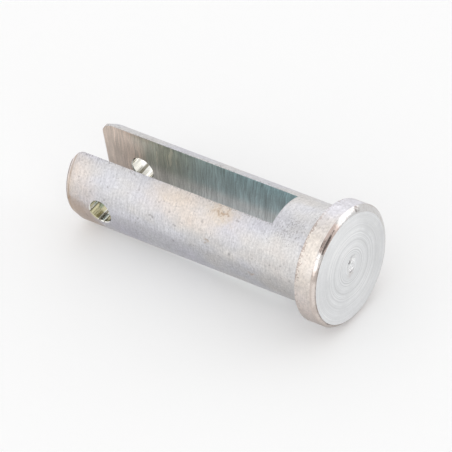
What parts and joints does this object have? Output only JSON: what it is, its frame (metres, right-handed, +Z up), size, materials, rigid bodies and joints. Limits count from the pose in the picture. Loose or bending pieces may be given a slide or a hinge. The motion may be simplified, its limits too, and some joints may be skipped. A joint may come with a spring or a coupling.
{
  "type": "clevis pin",
  "caption": "Headed clevis pin with a bevelled head, a shank slotted lengthwise into two ears, a tapered free end and a cross hole through both ears.",
  "frame": {"origin": "on the shank's axis, in the plane of the head's underside", "axes": "+X along the shank towards the open, slotted end; Y across the slot, along the cross hole; +Z up, along the slot's depth"},
  "size_m": [0.0397, 0.016, 0.016],
  "materials": {
    "zinc_plated_steel": "bright zinc plating with fine turning marks, dull patches and a few stains"
  },
  "bodies": {
    "root": {"clevis_pin": "zinc_plated_steel"}
  },
  "joints": []
}
